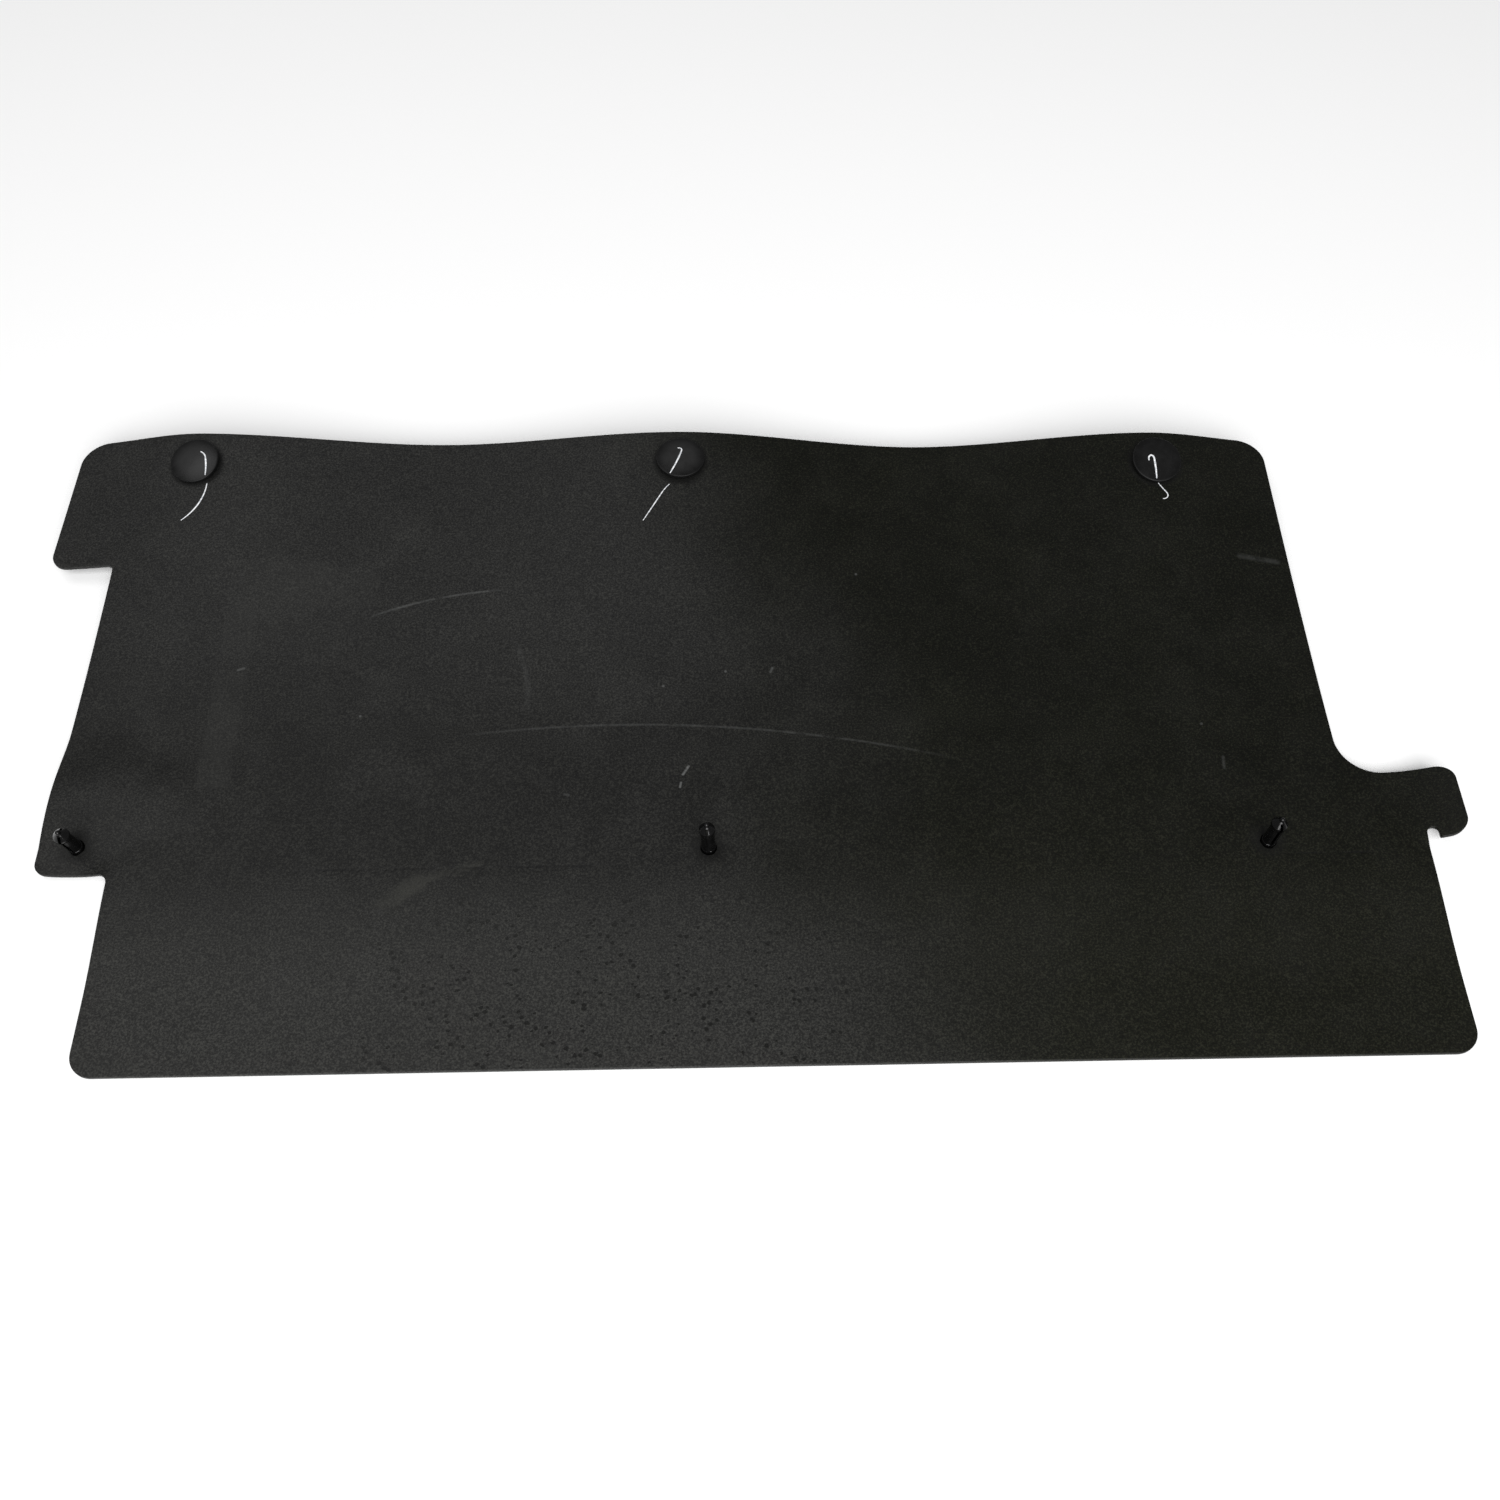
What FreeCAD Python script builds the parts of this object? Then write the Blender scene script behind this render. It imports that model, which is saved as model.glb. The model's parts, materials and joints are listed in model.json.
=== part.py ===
"""Kick shield: a thin flexible protective panel with a fold-up lower flap and push-in retainers.

The shield is a die-cut rubber sheet. It lies at rest on a flat surface: the lower flap is flat,
the fold is lifted by the retainer heads beneath it, and the rear edge is propped on the stems of
the retainers pushed down through it, so it waves between them. Units are millimetres. X runs
along the long edges, Y from the flap to the rear edge, Z up from the surface it rests on. The
origin is below the middle of the outline's box. Depths are given from the front edge.
"""
import FreeCAD, Part
import math
import os

# ---- driving dimensions -------------------------------------------------------------------

# outline of the flat sheet
overall_width = 679.0           # left tab's outer edge to right tab's outer edge
overall_depth = 347.6           # front edge of the flap to the rear left corner
sheet_thickness = 2.0
fold_depth = 94.5               # front edge to the fold line
flap_left = 276.1               # flap's left edge, left of the middle
flap_right = 322.4              # flap's right edge, right of the middle
left_edge = 310.5               # panel's left edge beside the fold
left_skew = 4.5                 # how far each left edge leans inwards towards the rear
right_edge = 291.5              # panel's right edge beside the right tab
right_skew = 4.0                # how far the right edge leans inwards towards the rear
lower_left_depth = 95.0         # front edge of the panel left of the flap
left_tab_length = 79.6          # along the left edge, up to the rear left corner
right_tab_depth = 100.0         # front and rear edges of the right tab
right_tab_top_depth = 136.0
rear_skew = 14.0                # how much nearer the front the rear right corner lies
slot_width = 5.0                # relief slot at the fold's right end
slot_length = 11.0
slot_flat = 0.1                 # straight piece at the slot's round end
crease_depth = 0.35             # pressed line along the fold

# outline radii
flap_corner_radius = 11.0
rear_corner_radius = 14.0
tab_corner_radius = 8.0
lower_left_radius = 6.0
tab_root_radius = 19.0
notch_radius = 3.5
fold_notch_radius = 5.0
slot_lip_radius = 0.8

# one-piece push-in retainer
head_radius = 12.7
head_rim = 1.7
head_height = 2.8               # rim and dome together
stem_length = 24.5              # from the head's flat side to the tip
neck_radius = 3.3
neck_reach = 2.6                # neck beyond the sheet's thickness
leg_radius = 3.1
shoulder_radius = 3.65
shoulder_from_tip = 6.4         # where the shoulder begins to be widest
shoulder_land = 1.6             # length over which it stays widest
shoulder_back = 1.4             # length of the slope behind the shoulder
nose_radius = 1.5
leg_slot_width = 1.3
leg_slot_end = 2.6              # material left between the slot and the tip
eye_clearance = 0.35            # round a neck, all the way through its hole

# fits and seats
seat_gap = 0.3                  # between a head and the sheet at their nearest
leaning_seat_gap = 0.45         # over the leaning left head, where the sheet is bent

# where the retainers sit: X, then the depth from the front edge or the setback from the rear
# corner, then the sideways lean and the lean towards the rear in degrees
rear_retainers = {
    "rear_left_retainer": (-271.0, 21.1, -5.0, -12.0),
    "rear_centre_retainer": (-18.0, 25.6, 2.5, -3.0),
    "rear_right_retainer": (228.5, 32.1, 4.0, -14.0),
}
front_retainers = {
    "front_left_retainer": (-292.5, 108.6, 0.5, -10.0),
    "front_centre_retainer": (-4.0, 102.6, -1.0, 1.0),
    "front_right_retainer": (250.0, 101.0, 1.5, -1.5),
}

# lie of the sheet at rest
left_corner_lift = 8.5         # rear edge heights away from the retainers
left_valley_lift = 8.5
right_valley_lift = 7.0
right_corner_lift = 10.5
flap_settle = 62.0              # length over which the flap comes down from the fold
ramp_margin = 6.0               # flat strip behind the front retainer heads
seat_spread = 3.0               # how much further the sheet takes to settle behind a leaning head
tab_curl = 8.0                  # lift of the right tab's outer end
tab_curl_length = 32.0
tab_curl_rise = 10.0            # depth over which the curl begins, from the fold

# how finely the lie of the sheet is sampled, and how far the samples pass the outline
grid_step = 5.0
grid_margin = 6.0
cut_margin = 20.0               # how far cutting solids pass what they cut

front_y = -overall_depth / 2.0
rear_y = front_y + overall_depth
fold_y = front_y + fold_depth

os.makedirs("parts", exist_ok=True)


# ---- helpers ------------------------------------------------------------------------------

def smooth(value):
    """0 below 0, 1 above 1, and an S-curve between."""
    held = min(max(value, 0.0), 1.0)
    return held * held * (3.0 - 2.0 * held)


def axis_of(lean_x, lean_y):
    """Unit vector that leans from +Z by two angles in degrees."""
    vector = FreeCAD.Vector(math.tan(math.radians(lean_x)), math.tan(math.radians(lean_y)), 1.0)
    return vector.normalize()


def slopes_of(axis):
    """Slopes along X and Y of the plane square to an axis."""
    return -axis.x / axis.z, -axis.y / axis.z


def rounded_face(corners):
    """Face inside a polygon of (x, y, radius) corners, each rounded by a tangent arc."""
    edges = []
    starts = []
    ends = []
    middles = []
    count = len(corners)
    for index, (x, y, radius) in enumerate(corners):
        here = FreeCAD.Vector(x, y, 0)
        before = FreeCAD.Vector(*corners[index - 1][:2], 0)
        after = FreeCAD.Vector(*corners[(index + 1) % count][:2], 0)
        back = (before - here).normalize()
        ahead = (after - here).normalize()
        half = back.getAngle(ahead) / 2.0
        setback = radius / math.tan(half)
        bisector = (back + ahead).normalize()
        centre = here + bisector * (radius / math.sin(half))
        starts.append(here + back * setback)
        ends.append(here + ahead * setback)
        middles.append(centre - bisector * radius)
    for index in range(count):
        edges.append(Part.Arc(starts[index], middles[index], ends[index]).toShape())
        edges.append(Part.LineSegment(ends[index], starts[(index + 1) % count]).toShape())
    return Part.Face(Part.Wire(edges))


def write(shape, node):
    """Write one piece as a STEP file named after its node."""
    shape.exportStep("parts/" + node + ".step")


# ---- retainer: one moulding with a domed head, a neck, two legs and a pointed nose ---------

neck_length = sheet_thickness + neck_reach
dome_rise = head_height - head_rim
dome_sphere = (head_radius ** 2 + dome_rise ** 2) / (2.0 * dome_rise)


def retainer():
    """Retainer with its head's flat side at the origin and its stem along +Z."""
    rim_bottom = FreeCAD.Vector(head_radius, 0, -head_rim)
    dome_low = FreeCAD.Vector(0, 0, -head_height)
    half_way = math.asin(head_radius / dome_sphere) / 2.0
    dome_middle = FreeCAD.Vector(
        dome_sphere * math.sin(half_way), 0, dome_sphere * (1.0 - math.cos(half_way)) - head_height
    )
    shoulder_z = stem_length - shoulder_from_tip
    nose_z = stem_length - nose_radius
    nose_middle = FreeCAD.Vector(
        nose_radius * math.cos(math.pi / 4.0), 0, nose_z + nose_radius * math.sin(math.pi / 4.0)
    )
    line = [
        FreeCAD.Vector(head_radius, 0, 0),
        FreeCAD.Vector(neck_radius, 0, 0),
        FreeCAD.Vector(neck_radius, 0, neck_length),
        FreeCAD.Vector(leg_radius, 0, neck_length),
        FreeCAD.Vector(leg_radius, 0, shoulder_z - shoulder_back),
        FreeCAD.Vector(shoulder_radius, 0, shoulder_z),
        FreeCAD.Vector(shoulder_radius, 0, shoulder_z + shoulder_land),
        FreeCAD.Vector(nose_radius, 0, nose_z),
    ]
    tip = FreeCAD.Vector(0, 0, stem_length)
    edges = [Part.Arc(dome_low, dome_middle, rim_bottom).toShape()]
    for start, end in zip([rim_bottom] + line[:-1], line):
        edges.append(Part.LineSegment(start, end).toShape())
    edges.append(Part.Arc(line[-1], nose_middle, tip).toShape())
    edges.append(Part.LineSegment(tip, dome_low).toShape())
    turned = Part.Face(Part.Wire(edges)).revolve(
        FreeCAD.Vector(0, 0, 0), FreeCAD.Vector(0, 0, 1), 360
    )
    slot_height = stem_length - leg_slot_end - neck_length
    slot = Part.makeBox(
        leg_slot_width, 4.0 * shoulder_radius, slot_height,
        FreeCAD.Vector(-leg_slot_width / 2.0, -2.0 * shoulder_radius, neck_length),
    )
    return turned.cut(slot)


def turned_to(shape, seat, axis):
    """Turn a shape made along +Z to an axis, with its origin at the seat."""
    placed = shape.copy()
    placed.Placement = FreeCAD.Placement(seat, FreeCAD.Rotation(FreeCAD.Vector(0, 0, 1), axis))
    return placed


def head_up_seat(x, y, axis):
    """Centre of the head's flat side when the tip stands on the surface."""
    height = nose_radius + (stem_length - nose_radius) * axis.z
    return FreeCAD.Vector(x, y, height)


def head_down_seat(x, y, axis):
    """Centre of the head's flat side when the head lies on the surface, on its dome or rim."""
    lean = math.acos(axis.z)
    if math.sin(lean) < head_radius / dome_sphere:
        height = dome_sphere - (dome_sphere - head_height) * axis.z
    else:
        height = head_radius * math.sin(lean) + head_rim * axis.z
    return FreeCAD.Vector(x, y, height)


def tilt_gap(axis, slope_x, slope_y):
    """Height from the sheet to a head's middle, so that the head's low edge is a seat gap off."""
    head_slope_x, head_slope_y = slopes_of(axis)
    return seat_gap + head_radius * math.hypot(head_slope_x - slope_x, head_slope_y - slope_y)


# ---- lie of the sheet: height of its underside ----------------------------------------------

front_seats = {}
for node, (x, depth, lean_x, lean_y) in front_retainers.items():
    axis = axis_of(lean_x, lean_y)
    front_seats[node] = (head_down_seat(x, front_y + depth, axis), axis)

rear_seats = {}
for node, (x, setback, lean_x, lean_y) in rear_retainers.items():
    axis = axis_of(lean_x, lean_y)
    rear_seats[node] = (head_up_seat(x, rear_y - setback, axis), axis)

# the fold lies level, clear of the heads of the two retainers right beside it
fold_height = max(
    front_seats[node][0].z + tilt_gap(front_seats[node][1], 0.0, 0.0)
    for node in ("front_centre_retainer", "front_right_retainer")
)

ramp_start = max(seat.y for seat, axis in front_seats.values()) + head_radius + ramp_margin
ramp_end = sum(seat.y for seat, axis in rear_seats.values()) / len(rear_seats)


def ramp(y):
    """Share of the rear lift at a depth: a strip held flat in front and lifted at its rear."""
    along = (y - ramp_start) / (ramp_end - ramp_start)
    if along <= 0.0:
        return 0.0
    if along >= 1.0:
        return 1.0 + 1.5 * (along - 1.0)
    return along * along * (3.0 - along) / 2.0


def rear_lift(seat, axis):
    """Lift at the rear that brings the sheet up to a retainer's head."""
    surface = seat.z - sheet_thickness - seat_gap
    slope = 1.5 * (surface - fold_height) / (ramp_end - ramp_start)
    surface = seat.z - sheet_thickness - tilt_gap(axis, 0.0, slope)
    return (surface - fold_height) / ramp(seat.y)


lifts = [rear_lift(*rear_seats[node]) for node in rear_retainers]
posts = [seat.x for seat, axis in rear_seats.values()]
wave = [
    (-overall_width / 2.0, left_corner_lift),
    (posts[0], lifts[0]),
    ((posts[0] + posts[1]) / 2.0, left_valley_lift),
    (posts[1], lifts[1]),
    ((posts[1] + posts[2]) / 2.0, right_valley_lift),
    (posts[2], lifts[2]),
    (right_edge, right_corner_lift),
]


def rear_wave(x):
    """Lift along the rear: crests at the retainers, valleys between them."""
    if x <= wave[0][0]:
        return wave[0][1]
    for (x_low, low), (x_high, high) in zip(wave, wave[1:]):
        if x <= x_high:
            return low + (high - low) * smooth((x - x_low) / (x_high - x_low))
    return wave[-1][1]


left_seat, left_axis = front_seats["front_left_retainer"]
left_slope_x, left_slope_y = slopes_of(left_axis)
left_reach = math.hypot(flap_left + left_seat.x, fold_y - left_seat.y) - head_radius - seat_gap


def settled_on_left_head(x, y, height):
    """Height where the sheet lies on the leaning left head, easing out to the given height."""
    off_x = x - left_seat.x
    off_y = y - left_seat.y
    width = left_reach * (1.0 + (seat_spread - 1.0) * smooth(off_y / head_radius))
    share = smooth(1.0 - (math.hypot(off_x, off_y) - head_radius - seat_gap) / width)
    seated = left_seat.z + leaning_seat_gap + left_slope_x * off_x + left_slope_y * off_y
    return height + share * (seated - height)


def underside(x, y):
    """Height of the sheet's underside at rest."""
    if y < fold_y:
        height = fold_height * smooth(1.0 - (fold_y - y) / flap_settle)
    else:
        height = fold_height + rear_wave(x) * ramp(y)
    height = settled_on_left_head(x, y, height)
    curl = max(0.0, (x - overall_width / 2.0 + tab_curl_length) / tab_curl_length)
    height += tab_curl * curl * curl * smooth((y - fold_y) / tab_curl_rise)
    return height


def steps(low, high):
    """Evenly spaced values from low to high, no further apart than the grid step."""
    count = int(math.ceil((high - low) / grid_step))
    return [low + (high - low) * index / count for index in range(count + 1)]


def sheet_slab(y_values):
    """Slab of the sheet's thickness that follows the underside over rows of Y."""
    x_values = steps(-overall_width / 2.0 - grid_margin, overall_width / 2.0 + grid_margin)
    rows = [[FreeCAD.Vector(x, y, underside(x, y)) for y in y_values] for x in x_values]
    surface = Part.BSplineSurface()
    surface.interpolate(rows)
    return surface.toShape().extrude(FreeCAD.Vector(0, 0, sheet_thickness))


# ---- sheet: outline, holes, crease and fold --------------------------------------------------

half_width = overall_width / 2.0
slot_y = fold_y + slot_length
slot_radius = slot_width / 2.0 - slot_flat / 2.0
corners = [
    (-flap_left, front_y, flap_corner_radius),
    (flap_right, front_y, flap_corner_radius),
    (flap_right, slot_y, slot_radius),
    (flap_right + slot_width, slot_y, slot_radius),
    (flap_right + slot_width, front_y + right_tab_depth, slot_lip_radius),
    (half_width, front_y + right_tab_depth, tab_corner_radius),
    (half_width, front_y + right_tab_top_depth, tab_corner_radius),
    (right_edge, front_y + right_tab_top_depth, tab_root_radius),
    (right_edge - right_skew, rear_y - rear_skew, rear_corner_radius),
    (left_skew - half_width, rear_y, rear_corner_radius),
    (-half_width, rear_y - left_tab_length, tab_corner_radius),
    (left_skew - left_edge, rear_y - left_tab_length, notch_radius),
    (-left_edge, front_y + lower_left_depth, lower_left_radius),
    (-flap_left, front_y + lower_left_depth, fold_notch_radius),
]
top_z = max(seat.z for seat, axis in rear_seats.values()) + cut_margin
outline = rounded_face(corners).extrude(FreeCAD.Vector(0, 0, top_z + cut_margin))
outline.translate(FreeCAD.Vector(0, 0, -cut_margin))

y_values = steps(front_y - grid_margin, fold_y)[:-1] + steps(fold_y, rear_y + grid_margin)
sheet = sheet_slab(y_values).common(outline)

hole_radius = neck_radius + eye_clearance
for seat, axis in rear_seats.values():
    start = seat - axis * (neck_length + cut_margin / 4.0)
    sheet = sheet.cut(Part.makeCylinder(hole_radius, neck_length + cut_margin / 2.0, start, axis))
for seat, axis in front_seats.values():
    start = seat - axis * (cut_margin / 4.0)
    sheet = sheet.cut(Part.makeCylinder(hole_radius, neck_length + cut_margin / 2.0, start, axis))

# the crease is a shallow V pressed into the upper side, all along the fold
fold_top = fold_height + sheet_thickness
crease_line = [
    FreeCAD.Vector(-half_width, fold_y, fold_top - crease_depth),
    FreeCAD.Vector(-half_width, fold_y + crease_depth, fold_top + crease_depth),
    FreeCAD.Vector(-half_width, fold_y - crease_depth, fold_top + crease_depth),
]
crease = Part.Face(Part.makePolygon(crease_line + crease_line[:1]))
sheet = sheet.cut(crease.extrude(FreeCAD.Vector(flap_right + half_width, 0, 0)))

# the flap is everything in front of the fold line, and hinges on its upper edge
flap_side = Part.makeBox(
    overall_width + 2.0 * cut_margin, fold_depth + cut_margin, top_z + 2.0 * cut_margin,
    FreeCAD.Vector(-half_width - cut_margin, front_y - cut_margin, -cut_margin),
)
write(sheet.common(flap_side), "lower_flap")
write(sheet.cut(flap_side), "main_panel")


# ---- retainers in their holes ----------------------------------------------------------------

for node, (seat, axis) in front_seats.items():
    write(turned_to(retainer(), seat, axis), node)
for node, (seat, axis) in rear_seats.items():
    write(turned_to(retainer(), seat, axis * -1.0), node)
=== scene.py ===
# A rubber kick shield, laid out as it comes off a vehicle with its six push-in retainers in it.
# Three retainers stand under the rear edge and prop it up, and three point up at the front.
# Every place is read from the CAD frame or repeats its sizes, in metres.
import json
import math
import random

import bmesh
import bpy
from mathutils import Matrix, Vector
from mathutils.geometry import delaunay_2d_cdt

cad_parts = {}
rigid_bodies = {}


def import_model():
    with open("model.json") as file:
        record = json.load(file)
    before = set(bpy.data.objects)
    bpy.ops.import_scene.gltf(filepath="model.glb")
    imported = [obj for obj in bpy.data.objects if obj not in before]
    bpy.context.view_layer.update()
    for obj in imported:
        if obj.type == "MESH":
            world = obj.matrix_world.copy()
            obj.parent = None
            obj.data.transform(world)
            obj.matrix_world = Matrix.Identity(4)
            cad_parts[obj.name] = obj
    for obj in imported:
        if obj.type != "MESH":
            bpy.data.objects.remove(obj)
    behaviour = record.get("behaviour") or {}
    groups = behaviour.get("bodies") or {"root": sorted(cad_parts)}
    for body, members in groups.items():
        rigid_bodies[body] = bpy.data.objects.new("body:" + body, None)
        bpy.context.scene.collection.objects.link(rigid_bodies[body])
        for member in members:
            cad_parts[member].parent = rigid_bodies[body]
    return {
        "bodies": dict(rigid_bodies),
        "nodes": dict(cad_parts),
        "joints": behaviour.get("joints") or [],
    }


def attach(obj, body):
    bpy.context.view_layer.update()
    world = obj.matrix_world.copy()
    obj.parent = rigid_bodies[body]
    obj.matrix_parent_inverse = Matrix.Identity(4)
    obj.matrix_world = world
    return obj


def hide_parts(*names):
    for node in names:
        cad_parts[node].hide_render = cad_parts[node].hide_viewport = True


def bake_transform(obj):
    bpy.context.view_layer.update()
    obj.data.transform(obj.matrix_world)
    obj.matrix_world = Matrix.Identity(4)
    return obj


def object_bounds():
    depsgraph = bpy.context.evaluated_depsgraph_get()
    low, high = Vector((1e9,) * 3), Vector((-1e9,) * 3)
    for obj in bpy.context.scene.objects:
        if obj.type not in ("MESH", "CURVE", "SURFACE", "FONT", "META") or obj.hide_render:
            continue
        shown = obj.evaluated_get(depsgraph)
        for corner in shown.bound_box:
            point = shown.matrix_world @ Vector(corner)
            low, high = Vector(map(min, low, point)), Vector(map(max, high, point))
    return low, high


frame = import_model()
cad_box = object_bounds()
joint_of = {joint["child"]: joint for joint in frame["joints"]}


# ---- rubber sheet ---------------------------------------------------------------------------
# One blank of 2 mm black rubber, die-cut with tabs, a slot and six holes, and creased across its
# front third. It has taken a set: flat at the front, and waving up over the three rear retainers.

sheet_thickness = 0.002
half_width = 0.3395
front_y = -0.1738
rear_y = 0.1738
flap_left = 0.2761
flap_right = 0.3224
left_edge = 0.3105
left_skew = 0.0045
right_edge = 0.2915
right_skew = 0.004
rear_skew = 0.014
lower_left_depth = 0.095
left_tab_length = 0.0796
right_tab_depth = 0.1
right_tab_top_depth = 0.136
slot_width = 0.005
slot_length = 0.011
slot_radius = 0.00245
hole_radius = 0.00365

fold_point = Vector(joint_of["flap"]["pos_m"])
fold_y = fold_point.y
fold_height = fold_point.z - sheet_thickness
slot_end = fold_y + slot_length

outline_corners = [                       # x, y and corner radius, anticlockwise from above
    (-flap_left, front_y, 0.011),
    (flap_right, front_y, 0.011),
    (flap_right, slot_end, slot_radius),
    (flap_right + slot_width, slot_end, slot_radius),
    (flap_right + slot_width, front_y + right_tab_depth, 0.0008),
    (half_width, front_y + right_tab_depth, 0.008),
    (half_width, front_y + right_tab_top_depth, 0.008),
    (right_edge, front_y + right_tab_top_depth, 0.019),
    (right_edge - right_skew, rear_y - rear_skew, 0.014),
    (left_skew - half_width, rear_y, 0.014),
    (-half_width, rear_y - left_tab_length, 0.008),
    (left_skew - left_edge, rear_y - left_tab_length, 0.0035),
    (-left_edge, front_y + lower_left_depth, 0.006),
    (-flap_left, front_y + lower_left_depth, 0.005),
]
cut_edge = [                              # how far in and how high the cut edge's worn lips are
    (0.00055, 0.0), (0.0003, 0.00002), (0.00008, 0.00012), (0.0, 0.00035),
    (0.0, sheet_thickness - 0.00035), (0.00008, sheet_thickness - 0.00012),
    (0.0003, sheet_thickness - 0.00002), (0.00055, sheet_thickness),
]
punched_edge = [
    (0.00045, 0.0), (0.0002, 0.00004), (0.0, 0.00025),
    (0.0, sheet_thickness - 0.00025), (0.0002, sheet_thickness - 0.00004),
    (0.00045, sheet_thickness),
]
sheet_grid = 0.004
crease_rows = [0.0025, 0.0012, 0.0006, 0.00025, 0.0, -0.00025, -0.0006, -0.0012,
               -0.002, -0.003, -0.004, -0.005, -0.0065]
crease_width = 0.0006
row_gap_front = 0.0085                    # the plain rows stop this far each side of the fold
row_gap_rear = 0.0045
spot_gap = 0.0013                         # nearest that a row's point comes to a cut edge
rim_cell = 0.002
hole_border = 0.0012
crease_depth = 0.00022


def smooth(value):
    value = min(max(value, 0.0), 1.0)
    return value * value * (3.0 - 2.0 * value)


def rounded_outline(corners, step_at, closed=True):
    """Points along straight runs and rounded corners; step_at(point) is the longest step there."""
    runs = []
    for i, (x, y, radius) in enumerate(corners):
        here = Vector((x, y))
        if radius == 0.0:
            runs.append([here])
            continue
        back = (Vector(corners[i - 1][:2]) - here).normalized()
        on = (Vector(corners[(i + 1) % len(corners)][:2]) - here).normalized()
        half = back.angle(on) / 2.0
        middle = here + (back + on).normalized() * radius / math.sin(half)
        start = here + back * radius / math.tan(half) - middle
        turn = (math.pi - 2.0 * half) * (1.0 if on.x * back.y - on.y * back.x > 0.0 else -1.0)
        count = max(4, math.ceil(abs(turn) * radius / 0.0011), math.ceil(abs(turn) / 0.2))
        arc = []
        for k in range(count + 1):
            angle = turn * k / count
            c, s = math.cos(angle), math.sin(angle)
            arc.append(middle + Vector((c * start.x - s * start.y, s * start.x + c * start.y)))
        runs.append(arc)
    points = []
    for i, run in enumerate(runs):
        points.extend(run)
        if i + 1 == len(runs) and not closed:
            break
        goal = runs[(i + 1) % len(runs)][0]
        here = run[-1]
        while True:
            left = (goal - here).length
            step = step_at(here)
            if left <= 1.4 * step:
                break
            here = here + (goal - here) * step / left
            points.append(here)
    return points


def outline_step(point):
    return 0.0007 if abs(point.y - fold_y + 0.002) < 0.007 else sheet_grid


def facing_out(points):
    """Which way each point of a closed loop faces, with the material on the loop's left."""
    out = []
    for i, point in enumerate(points):
        along = (points[(i + 1) % len(points)] - points[i - 1]).normalized()
        out.append(Vector((along.y, -along.x)))
    return out


def retainer_hole(body):
    """Middle of a punched hole halfway through the sheet, and how it leans with its retainer."""
    seat = Vector(joint_of[body]["pos_m"])
    axis = Vector(joint_of[body]["axis"])
    wall = []
    for vertex in frame["nodes"]["main_panel"].data.vertices:
        off = vertex.co - seat
        along = off.dot(axis)
        if abs((off - axis * along).length - hole_radius) < 0.00006 and abs(along) < 0.009:
            wall.append(along)
    middle = seat + axis * (min(wall) + max(wall)) / 2.0
    return Vector((middle.x, middle.y)), Vector((axis.x, axis.y)) / axis.z


retainer_bodies = [body for body in frame["bodies"] if body.endswith("retainer")]
loops = [(rounded_outline(outline_corners, outline_step), cut_edge, Vector((0.0, 0.0)))]
holes = []
for body in retainer_bodies:
    middle, lean = retainer_hole(body)
    holes.append(middle)
    ring = []
    for k in range(40):
        angle = -math.tau * k / 40
        ring.append(middle + Vector((math.cos(angle), math.sin(angle))) * hole_radius)
    loops.append((ring, punched_edge, lean))

flat_points = []
loop_edges = []
for points, edge, lean in loops:
    first = len(flat_points)
    for point, out in zip(points, facing_out(points)):
        flat_points.append(point - out * edge[0][0])
    for k in range(len(points)):
        loop_edges.append((first + k, first + (k + 1) % len(points)))

row = front_y + sheet_grid / 2.0
rows = [fold_y + offset for offset in crease_rows]
while row < rear_y:
    if not fold_y - row_gap_front < row < fold_y + row_gap_rear:
        rows.append(row)
    row += sheet_grid
border = flat_points[:len(loops[0][0])]
rim_cells = {}
for point in flat_points:
    cell = (int(point.x // rim_cell), int(point.y // rim_cell))
    rim_cells.setdefault(cell, []).append(point)
for y in sorted(rows):
    crossings = []
    for i, point in enumerate(border):
        before = border[i - 1]
        if (point.y > y) != (before.y > y):
            share = (y - before.y) / (point.y - before.y)
            crossings.append(before.x + share * (point.x - before.x))
    crossings.sort()
    for low, high in zip(crossings[::2], crossings[1::2]):
        count = max(2, round((high - low) / sheet_grid))
        for k in range(1, count):
            point = Vector((low + (high - low) * k / count, y))
            if any((point - hole).length < hole_radius + hole_border for hole in holes):
                continue
            cell = (int(point.x // rim_cell), int(point.y // rim_cell))
            near = [
                other for i in (-1, 0, 1) for j in (-1, 0, 1)
                for other in rim_cells.get((cell[0] + i, cell[1] + j), [])
            ]
            if all((point - other).length > spot_gap for other in near):
                flat_points.append(point)

spots, _, triangles, sources, _, _ = delaunay_2d_cdt(flat_points, loop_edges, [], 1, 1e-7)


def crease_at(x, y):
    """The crease was pressed with a worn rule, so it comes and goes along its length."""
    left = smooth((x + 0.215) / 0.03) * smooth((-0.02 - x) / 0.03)
    right = smooth((x - 0.25) / 0.02) * smooth((0.305 - x) / 0.02)
    groove = max(0.0, 1.0 - abs(y - fold_y) / crease_width)
    return crease_depth * groove * (0.1 + 0.9 * max(left, 0.4 * right))


def lean_near(index, height):
    """Sideways shift that tips a punched hole's rim along its retainer."""
    start = 0
    for points, edge, lean in loops:
        if start <= index < start + len(points):
            return lean * (height - sheet_thickness / 2.0)
        start += len(points)
    return Vector((0.0, 0.0))


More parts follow.
